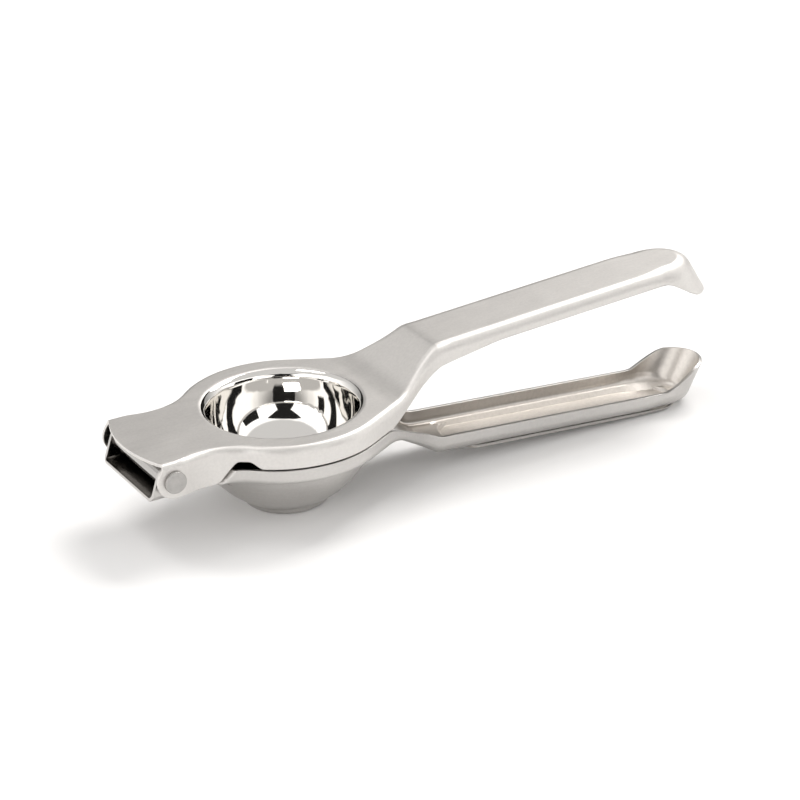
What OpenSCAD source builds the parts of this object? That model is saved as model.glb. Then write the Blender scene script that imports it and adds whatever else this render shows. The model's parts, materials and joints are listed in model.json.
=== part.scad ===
// Hand citrus press: two pressed-steel levers hinged on one rivet.
// The upper lever carries a domed press cup, the lower lever a perforated bowl.
// Lengths are millimetres. The model is drawn with the cup centre at x = 0 and
// the upper plate at z = 0, and is then laid on the table by seated().

/* [Sheet] */
// Thickness of the steel sheet of both levers
sheet = 1.2; // [1:0.1:1.5]
// Gap between an ear of the upper lever and the lower wall inside it
side_gap = 0.3; // [0.25:0.05:0.4]

/* [Press cup and bowl] */
// Inside radius of the press cup below its rolled rim
cup_r = 24.4; // [20:0.1:29]
// Radius of the roll from the plate into the cup
rim_roll = 3; // [2.8:0.1:6]
// Flat land between the rolled rim and the side flange
ring_land = 6.9; // [4:0.1:8]
// Gap between the cup and the bowl for the peel
peel_gap = 3.6; // [2.5:0.1:5]
// How much lower the centre of the bowl lies than the centre of the cup
bowl_drop = 1.8; // [0:0.1:2.4]
// Gap under the closed cup, above the bowl floor
floor_gap = 3.8; // [1.5:0.1:5]
// Radius of the flat foot under the bowl
foot_r = 14.2; // [12.5:0.1:17]
// Diameter of one drain hole
drain_d = 3.2; // [2:0.1:4]
// Drain holes in the inner circle; the outer circle has twice as many
drain_count = 6; // [4:1:6]

/* [Levers] */
// Depth of the upper lever's side flange around the ring
flange_h = 7.3; // [6:0.1:9]
// Slit between the two levers' edges when the press is closed
closed_slit = 0.5; // [0.4:0.1:1]
// Height of the lower lever's side wall around the ring
wall_h = 5.4; // [4.5:0.1:7]
// Width of both handles
grip_w = 24; // [20:0.5:29]
// Distance from the cup centre to the bend where the handles begin
grip_start = 51.5; // [48:0.5:62]
// Length of the straight handles
grip_len = 92; // [76:1:112]
// Rise of the upper handle at its first bend, above the plate
upper_rise = 10.8; // [8:0.1:14]
// Drop of the lower handle at its first bend, below the lower plate
lower_drop = 15.2; // [12:0.1:18]
// Depth of the upper handle's side flange
upper_grip_h = 4.9; // [4:0.1:7]
// Height of the lower handle's side wall
lower_grip_h = 6.2; // [5:0.1:8]
// Depth of the flared end lip of a handle
lip_h = 12.8; // [10:0.1:15]
// Depth of the panel sunk in the lower handle
panel_depth = 1.2; // [0.8:0.1:1.5]

/* [Hinge] */
// Distance from the cup centre back to the rivet axis
pin_reach = 49; // [48:0.5:56]
// Depth of the rivet axis below the upper plate's top
pin_drop = 6.3; // [6:0.1:7]
// Diameter of the rivet's shank
pin_d = 4; // [3:0.1:5]
// Diameter of the rivet's heads
head_d = 7.3; // [6.5:0.1:9]
// Height of a rivet head
head_h = 1.2; // [0.8:0.1:1.8]
// Outside diameter of the spacer sleeve on the rivet
sleeve_d = 7.8; // [6:0.1:8]
// Radial clearance of the rivet in the lower lever and in the sleeve
pin_clear = 0.06; // [0.04:0.01:0.1]
// Half the distance between the outer faces of the ears
ear_half = 20.6; // [17.5:0.1:24]
// Radius of the ear around the rivet
ear_r = 5.8; // [5.4:0.1:6.2]

/* [Hidden] */
$fn = 96;
eps = 0.01;                                  // overlap that joins drawn pieces
far = 60;                                    // longer than anything that is cut

// Ring, cup and bowl
mouth_r = cup_r + rim_roll;                  // edge of the flat plate at the cup
ring_r = mouth_r + ring_land;
bowl_r = cup_r + sheet + peel_gap;           // inside radius of the bowl
ball_z = -rim_roll;                          // centre of the cup's dome
bowl_z = ball_z - bowl_drop;                 // centre of the bowl's dome
bowl_floor = ball_z - cup_r - sheet - floor_gap;
foot_z = bowl_floor - sheet;
wall_top = -flange_h - closed_slit;          // top edge of the lower lever
low_z = wall_top - wall_h;                   // underside of the lower plate
drain_inner = 0.37 * foot_r;                 // radii of the two circles of holes
drain_outer = 0.73 * foot_r;

// Outline seen from above
front_shoulder = 133.7;                      // where the ring runs into the hinge neck
neck_run = 11.6;
neck_fillet = 20.4;
back_shoulder = 60.8;                        // where the ring runs into the handle
shoulder_fillet = 32;
neck_blend = 9;
pin = [-pin_reach, -pin_drop];
ear_x = -pin_reach + 3;                      // the ears are parallel in front of this
nose_x = -pin_reach - 7.8;                   // tip of the upper plate
corner_x = -pin_reach - 3;                   // where the plate meets an ear
nose_r = (pow(ear_half, 2) + pow(corner_x - nose_x, 2)) / (2 * (corner_x - nose_x));
tray_front = -pin_reach - 7.2;               // front edge of the lower plate

// Side view
grip_r = grip_w / 2;
grip_end = grip_start + grip_len;            // where the lips begin
upper_bend = 34.1 + (grip_start - 51.5);
lower_bend = 30.5 + (grip_start - 51.5);
upper_angle = 3.05;                          // climb of the upper handle
lower_angle = 4.9;                           // fall of the lower handle
upper_slope = tan(upper_angle);
lower_slope = tan(lower_angle);
lip_lean = 30;                               // lean of an end lip off the vertical
tip_from = grip_end - 25;                    // where a handle's leaning tip starts
tip_lap = 5;
lower_grip_z = low_z - lower_drop;           // underside of the lower handle's start
upper_end_z = upper_rise + grip_len * upper_slope;
lower_end_z = lower_grip_z - grip_len * lower_slope;
notch_x = -26;                               // the notch behind the ear
notch_h = 2.3;
notch_half = 1.8;
ear_low = -pin_drop - ear_r;
ear_slant = [5.7, 7.1];                      // rise of the ear's back edge
step_gap = 0.65;                             // from that edge to the lower lever's step
function step_x(z) = notch_x - notch_half + step_gap
                     + (z + flange_h - notch_h) * ear_slant[0] / ear_slant[1];

// Panel in the lower handle, in that handle's own slope
panel_half = grip_r - 3.2;
panel_from = 9;
panel_to = grip_len + 7.3 - panel_half;

// Rivet and the lower lever's neck on it
waist_half = (ring_r + neck_fillet) * sin(front_shoulder) - neck_fillet;
tray_half = min(waist_half, ear_half) - sheet - side_gap;
round_r = pin_drop - sheet - 0.5;            // rounded top of the neck's walls
sleeve_play = 0.1;                           // end play of the sleeve, each side
head_edge = 0.25;                            // bevel of a rivet head

// Rest on the table: hinge side of the foot and end of the lower handle's panel
panel_tip = panel_to + panel_half + sheet;
tip_x = grip_start + panel_tip * cos(lower_angle) - panel_depth * sin(lower_angle);
tip_z = lower_grip_z - panel_tip * sin(lower_angle) - panel_depth * cos(lower_angle);
pitch = atan((foot_z - tip_z) / (tip_x + foot_r));
lift = foot_r * sin(pitch) - foot_z * cos(pitch);
lip_reach = grip_r / cos(lip_lean) + lip_h * tan(lip_lean);
mid_x = (nose_x + grip_end - 1 + lip_reach) / 2 * cos(pitch);

// A path is a list of [x, y, corner radius]
function along(v) = v / norm(v);
function turned(v) = [-v[1], v[0]];
function flat(p) = [p[0], p[1]];
function bend_of(a, b) = a[0] * b[1] - a[1] * b[0];

// Shifts a path to its left by d and keeps its corners concentric
function shifted(p, d) = [
  for (i = [0 : len(p) - 1])
    let (last = len(p) - 1,
         into = along(flat(p[max(i, 1)]) - flat(p[max(i, 1) - 1])),
         out = along(flat(p[min(i, last - 1) + 1]) - flat(p[min(i, last - 1)])),
         move = d * (turned(into) + turned(out)) / (1 + into * out),
         r = p[i][2] == 0 ? 0 : max(p[i][2] - d * sign(bend_of(into, out)), 0.2))
      [p[i][0] + move[0], p[i][1] + move[1], r]
];

// The points of the arc that rounds the corner b between a and c
function corner(a, b, c, r) =
  let (into = along(flat(a) - flat(b)),
       out = along(flat(c) - flat(b)),
       half = acos(into * out) / 2,
       mid = flat(b) + along(into + out) * r / sin(half),
       from = flat(b) + into * r / tan(half) - mid,
       start = atan2(from[1], from[0]),
       sweep = (180 - 2 * half) * sign(bend_of(-into, out)),
       steps = max(3, ceil(abs(sweep) / 7)))
    [for (i = [0 : steps]) mid + r * [cos(start + sweep * i / steps), sin(start + sweep * i / steps)]];

// The path with its corners rounded
function rounded(p) = [
  for (i = [0 : len(p) - 1])
    for (q = i == 0 || i == len(p) - 1 || p[i][2] == 0
             ? [flat(p[i])] : corner(p[i - 1], p[i], p[i + 1], p[i][2])) q
];

function reversed(p) = [for (i = [len(p) - 1 : -1 : 0]) p[i]];
function mirrored(p) = [for (q = reversed(p)) [q[0], -q[1]]];

// Where the line from point a touches the circle round c; side picks left or right
function touch(a, c, r, side) =
  let (to = c - a,
       turn = asin(r / norm(to)),
       aim = atan2(to[1], to[0]) + side * turn)
    a + sqrt(to * to - r * r) * [cos(aim), sin(aim)];

// Half outlines seen from above: from the hinge to the ring, and from the ring
// along the handle. They run with the metal on their right.
front_t = (ring_r - eps) * [cos(front_shoulder), sin(front_shoulder)];
neck_v = front_t + neck_run * turned(along(front_t));
front_path = [[-pin_reach - far, ear_half, 0], [ear_x, ear_half, neck_blend],
              [neck_v[0], neck_v[1], neck_fillet], [front_t[0], front_t[1], 0]];
back_t = (ring_r - eps) * [cos(back_shoulder), sin(back_shoulder)];
back_dir = -turned(along(back_t));
back_run = (back_t[1] - grip_r) / -back_dir[1];
back_v = back_t + back_run * back_dir;
back_path = [[back_t[0], back_t[1], 0], [back_v[0], back_v[1], shoulder_fillet],
             [grip_end, grip_r, 0]];

// Side-view paths, from the hinge to the handle's end
upper_top = [[-pin_reach - far, 0, 0], [upper_bend, 0, 18], [grip_start, upper_rise, 8],
             [grip_end + far, upper_rise + (grip_len + far) * upper_slope, 0]];
lower_under = [[-pin_reach - far, low_z, 0], [lower_bend, low_z, 15],
               [grip_start, lower_grip_z, 7],
               [grip_end + far, lower_grip_z - (grip_len + far) * lower_slope, 0]];
upper_edge = [[pin[0], ear_low, 0],
              [notch_x - notch_half - ear_slant[0], ear_low, 4],
              [notch_x - notch_half, -flange_h + notch_h, 2],
              [notch_x + notch_half, -flange_h + notch_h, 1.5],
              [notch_x + notch_half + 2.4, -flange_h, 2],
              [upper_bend - 5, -flange_h, 14],
              [grip_start + 0.5, upper_rise - 7.4, 12],
              [grip_start + 24, upper_rise + 24 * upper_slope - upper_grip_h, 40],
              [grip_end, upper_end_z - upper_grip_h, 7],
              [grip_end + 13.5, upper_end_z - lip_h, 9],
              [grip_end + far, upper_end_z - lip_h - 1, 0]];
lower_edge = [[-ring_r, wall_top, 0],
              [lower_bend - 3, wall_top, 15],
              [grip_start + 1, lower_grip_z + lower_grip_h, 8],
              [grip_end, lower_end_z + lower_grip_h, 7],
              [grip_end + 12.5, lower_end_z + lip_h - 1, 9],
              [grip_end + far, lower_end_z + lip_h, 0]];

// Lays the closed press on the table
module seated() {
  translate([-mid_x, 0, lift]) rotate([0, -pitch, 0]) children();
}

// Extrudes a side view across the whole width
module across(half = 45) {
  rotate([90, 0, 0]) linear_extrude(height = 2 * half, center = true) children();
}

// Outline of a lever from above, drawn in by d
module outline(d) {
  circle(r = ring_r - d);
  polygon(concat(rounded(shifted(front_path, -d)), mirrored(rounded(shifted(front_path, -d)))));
  polygon(concat(rounded(shifted(back_path, -d)), mirrored(rounded(shifted(back_path, -d)))));
}

// The round, leaning end of a handle; up = 1 leans out upwards, -1 downwards
module grip_tip(d, z, up) {
  translate([grip_end - 1, 0, z]) rotate([0, up * lip_lean, 0])
    linear_extrude(height = far, center = true) {
      circle(r = grip_r - d - eps);
      translate([-grip_len / 2, d + eps - grip_r]) square([grip_len / 2, 2 * (grip_r - d - eps)]);
    }
}

// Solid block of a lever inside the outline drawn in by d. Its leaning tip starts
// inside its upright part.
module block(d, z, up) {
  linear_extrude(height = 2 * far, center = true) intersection() {
    outline(d);
    translate([-far - pin_reach, -far]) square([far + pin_reach + tip_from + tip_lap, 2 * far]);
  }
  intersection() {
    grip_tip(d, z, up);
    translate([tip_from, -far, -2 * far]) cube([far + grip_end - tip_from, 2 * far, 4 * far]);
  }
}

module press_side() {
  ear_touch = touch([corner_x, 0], pin, ear_r, -1);
  polygon(concat(rounded(reversed(upper_edge)), [pin, ear_touch, [corner_x, 0]],
                 [for (q = rounded(upper_top)) if (q[0] > corner_x) q]));
  translate(pin) circle(r = ear_r);
}

module press_plate() {
  intersection() {
    block(0, upper_end_z, -1);
    across() polygon(concat(rounded(upper_top), reversed(rounded(shifted(upper_top, -sheet)))));
    union() {
      translate([nose_x + nose_r, 0, -far]) cylinder(r = nose_r, h = 2 * far);
      translate([0, -far, -far]) cube([grip_end + far, 2 * far, 2 * far]);
    }
  }
}

module press_walls() {
  intersection() {
    difference() {
      block(0, upper_end_z, -1);
      block(sheet, upper_end_z, -1);
    }
    across() press_side();
  }
}

// Cup wall: a quarter roll into a hemisphere
module cup() {
  rotate_extrude() intersection() {
    difference() {
      translate([mouth_r, ball_z]) circle(r = rim_roll);
      translate([mouth_r, ball_z]) circle(r = rim_roll - sheet);
    }
    translate([0, ball_z]) square([mouth_r, rim_roll]);
  }
  translate([0, 0, ball_z]) difference() {
    sphere(r = cup_r + sheet);
    sphere(r = cup_r);
    cylinder(r = far, h = far);
  }
}

module press_lever() {
  color([0.76, 0.75, 0.73]) seated() difference() {
    union() {
      difference() {
        union() {
          press_plate();
          press_walls();
        }
        cylinder(r = mouth_r - eps, h = 4 * sheet, center = true);
      }
      cup();
    }
    translate([pin[0], 0, pin[1]]) rotate([90, 0, 0]) cylinder(d = pin_d, h = 2 * far, center = true);
  }
}

// Side view of the lower lever's hinge neck, which turns inside the ears
module neck_side() {
  front = touch([tray_front, low_z], pin, round_r, 1);
  polygon([[tray_front, low_z], front, pin, [pin[0], pin[1] + round_r],
           [ear_x + 9, pin[1] + round_r], [step_x(wall_top) - 3.5, wall_top],
           [notch_x, wall_top], [notch_x, low_z]]);
  translate(pin) circle(r = round_r);
}

// Side view of the ring and handle of the lower lever, from its slanted step.
// Raised by d it is the hollow above the sheet.
module tray_side(d) {
  top = [for (q = rounded(lower_edge)) if (q[0] > step_x(wall_top) + 1) q];
  base = [for (q = rounded(shifted(lower_under, d))) if (q[0] > step_x(low_z) + 2) q];
  back = d == 0 ? 0 : d * norm(ear_slant) / ear_slant[1];
  rim = d == 0 ? 0 : far;
  polygon(concat([[step_x(low_z + d) + back, low_z + d], [step_x(wall_top) + back, wall_top],
                  [step_x(wall_top) + back, wall_top + rim]],
                 [for (q = top) [q[0], q[1] + rim]], reversed(base)));
}

// Plate, side walls and end lip of the lower lever
module tray() {
  difference() {
    union() {
      intersection() {
        block(0, lower_end_z, 1);
        across() tray_side(0);
      }
      across(tray_half) neck_side();
    }
    intersection() {
      block(sheet, lower_end_z, 1);
      across() tray_side(sheet);
    }
    translate([tray_front - far, sheet - tray_half, low_z + sheet])
      cube([far + notch_x - tray_front, 2 * (tray_half - sheet), far]);
  }
}

// Half section of the bowl and its stepped foot, grown by d
module bowl_section(d) {
  intersection() {
    translate([0, bowl_z]) circle(r = bowl_r + d);
    translate([0, bowl_floor - d]) square([far, low_z + sheet - bowl_floor + d]);
  }
  translate([0, bowl_floor - d]) square([foot_r - sheet + d, 3]);
}

module drain_holes() {
  cylinder(d = drain_d, h = 2 * far, center = true);
  for (ring = [[drain_inner, drain_count], [drain_outer, 2 * drain_count]])
    for (i = [1 : ring[1]])
      rotate([0, 0, 360 * (i + 0.5) / ring[1]]) translate([ring[0], 0, -far])
        cylinder(d = drain_d, h = far);
}

// Outline of the sunken panel, grown by d, in the lower handle's own slope
module panel(d) {
  for (x = [panel_from + panel_half, panel_to]) translate([x, 0]) circle(r = panel_half + d);
  translate([panel_from + panel_half, -panel_half - d])
    square([panel_to - panel_from - panel_half, 2 * (panel_half + d)]);
}

module on_lower_handle() {
  translate([grip_start, 0, lower_grip_z]) rotate([0, lower_angle, 0]) children();
}

module bowl_lever() {
  color([0.72, 0.70, 0.68]) seated() difference() {
    union() {
      tray();
      rotate_extrude() bowl_section(sheet);
      on_lower_handle() translate([0, 0, -panel_depth])
        linear_extrude(height = panel_depth + sheet / 2) panel(sheet);
    }
    rotate_extrude() bowl_section(0);
    on_lower_handle() translate([0, 0, sheet - panel_depth]) linear_extrude(height = 2 * sheet) panel(0);
    drain_holes();
    translate([pin[0], 0, pin[1]]) rotate([90, 0, 0])
      cylinder(r = pin_d / 2 + pin_clear, h = 2 * far, center = true);
  }
}

// Shank with a low round head outside each ear
module hinge_rivet() {
  color([0.78, 0.76, 0.72]) seated() translate([pin[0], 0, pin[1]]) rotate([90, 0, 0]) {
    cylinder(d = pin_d, h = 2 * ear_half, center = true);
    for (side = [0, 1]) mirror([0, 0, side]) translate([0, 0, ear_half]) {
      cylinder(d = head_d, h = head_h - head_edge);
      translate([0, 0, head_h - head_edge])
        cylinder(d1 = head_d, d2 = head_d - 2 * head_edge, h = head_edge);
    }
  }
}

// Tube on the rivet that keeps the lower lever's walls apart
module spacer_sleeve() {
  color([0.85, 0.85, 0.85]) seated() translate([pin[0], 0, pin[1]]) rotate([90, 0, 0])
    difference() {
      cylinder(d = sleeve_d, h = 2 * (tray_half - sheet - sleeve_play), center = true);
      cylinder(r = pin_d / 2 + pin_clear, h = far, center = true);
    }
}

press_lever();
bowl_lever();
hinge_rivet();
spacer_sleeve();
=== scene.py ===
import bisect
import json
import math

import bmesh
import bpy
from bpy.props import FloatProperty, FloatVectorProperty, PointerProperty
from mathutils import Matrix, Vector


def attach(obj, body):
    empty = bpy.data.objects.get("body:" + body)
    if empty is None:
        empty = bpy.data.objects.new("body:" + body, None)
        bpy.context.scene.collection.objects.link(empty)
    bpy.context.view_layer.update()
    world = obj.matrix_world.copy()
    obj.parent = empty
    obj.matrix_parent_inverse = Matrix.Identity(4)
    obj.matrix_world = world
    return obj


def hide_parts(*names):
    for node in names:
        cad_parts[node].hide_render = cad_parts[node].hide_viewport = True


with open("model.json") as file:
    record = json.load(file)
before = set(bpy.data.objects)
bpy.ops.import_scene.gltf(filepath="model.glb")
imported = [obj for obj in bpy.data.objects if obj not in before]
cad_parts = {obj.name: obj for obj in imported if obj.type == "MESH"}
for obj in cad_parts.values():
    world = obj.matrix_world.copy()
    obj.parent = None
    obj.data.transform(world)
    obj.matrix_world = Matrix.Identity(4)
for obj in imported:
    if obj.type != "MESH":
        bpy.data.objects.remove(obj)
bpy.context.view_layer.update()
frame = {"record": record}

bl_info = {
    "name": "Hand Citrus Press",
    "version": (1, 0, 0),
    "blender": (4, 5, 0),
    "location": "View3D > Sidebar > Citrus Press",
    "description": "Models a two-lever citrus press of pressed steel on its CAD frame",
    "category": "Object",
}

RECORD = frame["record"]
MM = 0.001
SHEET_TOP, SHEET_UNDER = -1, 1               # which way a lever's walls are turned
FOLD_ROWS = 6                                # faces round a fold
WALL_ROWS = 12                               # faces down a wall
ACROSS = 24                                  # faces across a handle
ROLL_ROWS, CUP_ROWS, BOWL_ROWS = 8, 36, 24   # faces down the rim's roll, the cup and the bowl
LAND_ROWS, PANEL_ROWS = 5, 3                 # faces out to a lever's outline from its mouth, its panel
ROUND_FACES, HOLE_FACES = 64, 32             # faces round a turned piece and round a drilled hole
MERGE = 0.002                                # corners this near each other become one
CUT_EDGE = 0.22                              # rounding of the sheet's cut edges
RUN_FIT = 0.06                               # play round the rivet where a piece turns on it
DRAIN_RINGS = ((0.37, 6), (0.73, 12))        # share of the foot's radius, holes in that circle
PANEL_SIDE = ((0.30, 0.06), (0.14, 0.2), (0.05, 0.42), (-0.05, 0.78), (-0.14, 1.0),
              (-0.30, 1.14), (-0.5, 1.2))    # the panel's rounded side: outward of its wall, down

# The press is modelled in millimetres with the cup centre at x = 0 and the upper
# plate at z = 0. These place it on the frame's hinge, at the frame's own lean.
PIN = Vector((-49.0, 0.0, -6.3))
hinge = RECORD["behaviour"]["joints"][0]["pos_m"]
foot_axis = RECORD["mounts"][0]["axis"]
LEAN = Matrix.Rotation(-math.atan2(foot_axis[0], -foot_axis[2]), 4, "Y")
SEAT = Matrix.Translation(Vector(hinge) - LEAN @ (PIN * MM)) @ LEAN @ Matrix.Scale(MM, 4)


class PressSizes(bpy.types.PropertyGroup):
    """The sizes of the pressed sheets and the hinge"""

    sheet: FloatProperty(name="Sheet", description="Thickness of both levers' sheet",
                         default=0.0012, min=0.0008, unit="LENGTH", precision=4)
    cup_r: FloatProperty(name="Cup radius", description="Inside radius of the press cup",
                         default=0.0244, unit="LENGTH", precision=4)
    rim_roll: FloatProperty(name="Rim roll",
                            description="Radius of the roll from the plate into the cup",
                            default=0.0030, unit="LENGTH", precision=4)
    ring_land: FloatProperty(name="Ring land",
                             description="Flat land between the rim and the side flange",
                             default=0.0069, unit="LENGTH", precision=4)
    foot_r: FloatProperty(name="Foot radius", description="Radius of the flat foot under the bowl",
                          default=0.0142, unit="LENGTH", precision=4)
    drain_d: FloatProperty(name="Drain hole", description="Diameter of one drain hole",
                           default=0.0032, unit="LENGTH", precision=4)
    grip_w: FloatProperty(name="Handle width", description="Width of both handles",
                          default=0.024, unit="LENGTH", precision=4)
    grip_start: FloatProperty(name="Handle start",
                              description="Distance from the cup centre to the handles",
                              default=0.0515, unit="LENGTH", precision=4)
    grip_len: FloatProperty(name="Handle length", description="Length of the straight handles",
                            default=0.092, unit="LENGTH", precision=4)
    ear_half: FloatProperty(name="Ear half width",
                            description="Half the distance between the ears' outer faces",
                            default=0.0206, unit="LENGTH", precision=4)
    pin_d: FloatProperty(name="Rivet", description="Diameter of the rivet's shank",
                         default=0.004, unit="LENGTH", precision=4)
    head_d: FloatProperty(name="Rivet head", description="Diameter of the rivet's heads",
                          default=0.0073, unit="LENGTH", precision=4)
    sleeve_d: FloatProperty(name="Sleeve", description="Outside diameter of the spacer sleeve",
                            default=0.0078, unit="LENGTH", precision=4)
    ring_fold: FloatProperty(name="Ring fold", description="Outside radius of the fold round the ring",
                             default=0.0021, unit="LENGTH", precision=4)
    grip_fold: FloatProperty(name="Handle fold",
                             description="Outside radius of the fold along the handles",
                             default=0.0030, unit="LENGTH", precision=4)
    tip_fold: FloatProperty(name="Tip fold", description="Outside radius of the fold at a handle's tip",
                            default=0.0055, unit="LENGTH", precision=4)


class PressFinish(bpy.types.PropertyGroup):
    """The finishes of the steel and the stage"""

    satin: FloatVectorProperty(name="Satin steel", description="Colour of the brushed steel",
                               default=(0.70, 0.682, 0.66), subtype="COLOR", min=0, max=1)
    satin_roughness: FloatProperty(name="Satin roughness",
                                   description="Roughness of the brushed steel",
                                   default=0.50, min=0, max=1, subtype="FACTOR")
    mill: FloatVectorProperty(name="Rolled steel",
                              description="Colour of the sheets' glossier inner side",
                              default=(0.60, 0.57, 0.535), subtype="COLOR", min=0, max=1)
    mill_roughness: FloatProperty(name="Rolled roughness",
                                  description="Roughness of the sheets' inner side",
                                  default=0.28, min=0, max=1, subtype="FACTOR")
    mirror: FloatVectorProperty(name="Polished steel", description="Colour of the polished cup",
                                default=(0.80, 0.785, 0.76), subtype="COLOR", min=0, max=1)
    mirror_roughness: FloatProperty(name="Polished roughness",
                                    description="Roughness of the polished cup",
                                    default=0.035, min=0, max=1, subtype="FACTOR")
    floor: FloatVectorProperty(name="Floor", description="Colour of the floor",
                               default=(0.93, 0.93, 0.93), subtype="COLOR", min=0, max=1)


class Form:
    """The driving sizes in millimetres, and the sizes that follow from them."""

    def __init__(self, sizes):
        for name in PressSizes.__annotations__:
            setattr(self, name, getattr(sizes, name) / MM)
        self.mouth_r = self.cup_r + self.rim_roll
        self.ring_r = self.mouth_r + self.ring_land
        self.peel_gap, self.floor_gap, self.bowl_drop = 3.6, 3.8, 1.8
        self.flange_h, self.closed_slit, self.wall_h = 7.3, 0.5, 5.4
        self.ball_z = -self.rim_roll
        self.bowl_z = self.ball_z - self.bowl_drop
        self.bowl_out = self.cup_r + 2 * self.sheet + self.peel_gap
        self.foot_z = self.ball_z - self.cup_r - 2 * self.sheet - self.floor_gap
        self.wall_top = -self.flange_h - self.closed_slit
        self.low_z = self.wall_top - self.wall_h
        self.grip_r = self.grip_w / 2
        self.grip_end = self.grip_start + self.grip_len
        self.upper_rise, self.lower_drop = 10.8, 15.2
        self.upper_slope = math.tan(math.radians(3.05))
        self.lower_slope = math.tan(math.radians(4.9))
        self.lower_grip_z = self.low_z - self.lower_drop
        self.upper_end_z = self.upper_rise + self.grip_len * self.upper_slope
        self.lower_end_z = self.lower_grip_z - self.grip_len * self.lower_slope
        self.lip_h, self.lip_lean = 12.8, math.radians(30)
        self.ear_r, self.round_r = 5.8, 4.6
        self.nose_x, self.corner_x = PIN.x - 7.8, PIN.x - 3
        deep = self.corner_x - self.nose_x
        self.nose_r = (self.ear_half ** 2 + deep ** 2) / (2 * deep)
        self.tray_front = PIN.x - 7.2
        self.tray_half = 17.65
        self.tip_x = self.grip_end - 1
        self.panel_half, self.panel_depth = self.grip_r - 3.2, 1.2
        self.panel_start, self.panel_past = 9, 7.3        # from the handle's start, past its end
        self.neck_from, self.handle_from = math.radians(133.7), math.radians(60.8)
        self.neck_run, self.neck_bend, self.handle_bend = 11.6, 20.4, 32
        self.bowl_lip = 1.4                               # run of the curve from plate to bowl
        self.head_h, self.head_dip = 1.2, 0.06            # the rivet's head and the dip in it


# ---------------------------------------------------------------- plane curves

def corner_arc(a, b, c, r):
    """The points of the arc of radius r that rounds the corner b between a and c."""
    a, b, c = Vector(a[:2]), Vector(b[:2]), Vector(c[:2])
    into, out = (a - b).normalized(), (c - b).normalized()
    half = into.angle(out) / 2
    centre = b + (into + out).normalized() * (r / math.sin(half))
    start = b + into * (r / math.tan(half)) - centre
    turn = math.pi - 2 * half
    if into.x * out.y - into.y * out.x > 0:
        turn = -turn
    steps = max(4, math.ceil(abs(math.degrees(turn)) / 2.5))
    return [centre + Matrix.Rotation(turn * i / steps, 2) @ start for i in range(steps + 1)]


def rounded(path):
    """A path of (x, y, radius) with its corners rounded."""
    points = [Vector(path[0][:2])]
    for before, at, after in zip(path, path[1:], path[2:]):
        points += corner_arc(before, at, after, at[2]) if at[2] else [Vector(at[:2])]
    return points + [Vector(path[-1][:2])]


def height_of(path):
    """A function that gives the height of a side-view path at x."""
    points = rounded(path)
    xs = [p.x for p in points]

    def at(x):
        i = min(max(bisect.bisect_left(xs, x), 1), len(xs) - 1)
        a, b = points[i - 1], points[i]
        return a.y + (b.y - a.y) * (x - a.x) / (b.x - a.x)
    return at


class Trace:
    """A line that can be walked along by its length."""

    def __init__(self, points):
        self.points = [points[0]]
        self.marks = [0.0]
        for p in points[1:]:
            step = (p - self.points[-1]).length
            if step > 1e-6:
                self.points.append(p)
                self.marks.append(self.marks[-1] + step)
        self.length = self.marks[-1]

    def at(self, s):
        i = min(max(bisect.bisect_left(self.marks, s), 1), len(self.marks) - 1)
        a, b = self.points[i - 1], self.points[i]
        return a + (b - a) * ((s - self.marks[i - 1]) / (self.marks[i] - self.marks[i - 1]))

    def normal(self, s):
        ahead = self.at(s + 0.4) - self.at(s - 0.4)
        return Vector((-ahead.y, ahead.x)).normalized()


def smooth(x, low, high):
    """0 below low, 1 above high and a soft step between."""
    t = min(max((x - low) / (high - low), 0.0), 1.0)
    return t * t * (3 - 2 * t)


def touching(a, centre, r, side):
    """Where the line from a touches a circle; side picks left or right."""
    to = centre - a
    aim = math.atan2(to.y, to.x) + side * math.asin(r / to.length)
    return a + Vector((math.cos(aim), math.sin(aim))) * math.sqrt(to.length_squared - r * r)


# ------------------------------------------------------------ shapes of a lever

def ring_outline(form):
    """Half of the levers' outline from above, from behind the ears to the tip's start."""
    r = form.ring_r
    front, back = form.neck_from, form.handle_from
    front_t = Vector((math.cos(front), math.sin(front))) * r
    back_t = Vector((math.cos(back), math.sin(back))) * r
    neck_v = front_t + Vector((-math.sin(front), math.cos(front))) * form.neck_run
    slope = Vector((math.sin(back), -math.cos(back)))
    back_v = back_t + slope * ((back_t.y - form.grip_r) / -slope.y)
    neck = rounded([(PIN.x + 0.8, form.ear_half, 0), (PIN.x + 3, form.ear_half, 9),
                    (neck_v.x, neck_v.y, form.neck_bend), (front_t.x, front_t.y, 0)])
    ring = [Vector((math.cos(a), math.sin(a))) * r
            for a in (front + (back - front) * i / 70 for i in range(1, 70))]
    grip = rounded([(back_t.x, back_t.y, 0), (back_v.x, back_v.y, form.handle_bend),
                    (form.tip_x - 1.6, form.grip_r, 0)])
    return Trace(neck + ring + grip)


def spacing(x):
    """The distance between two sections at x: close where the sheet bends."""
    if -36.5 < x < -20:                      # where the lower lever draws in behind the ring
        return 0.55
    if 26 < x < 60 or x > 128:               # the double bend and the flared tip
        return 0.9
    return 1.7 if x < 60 else 2.4            # the ring, then the straight handle


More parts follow.
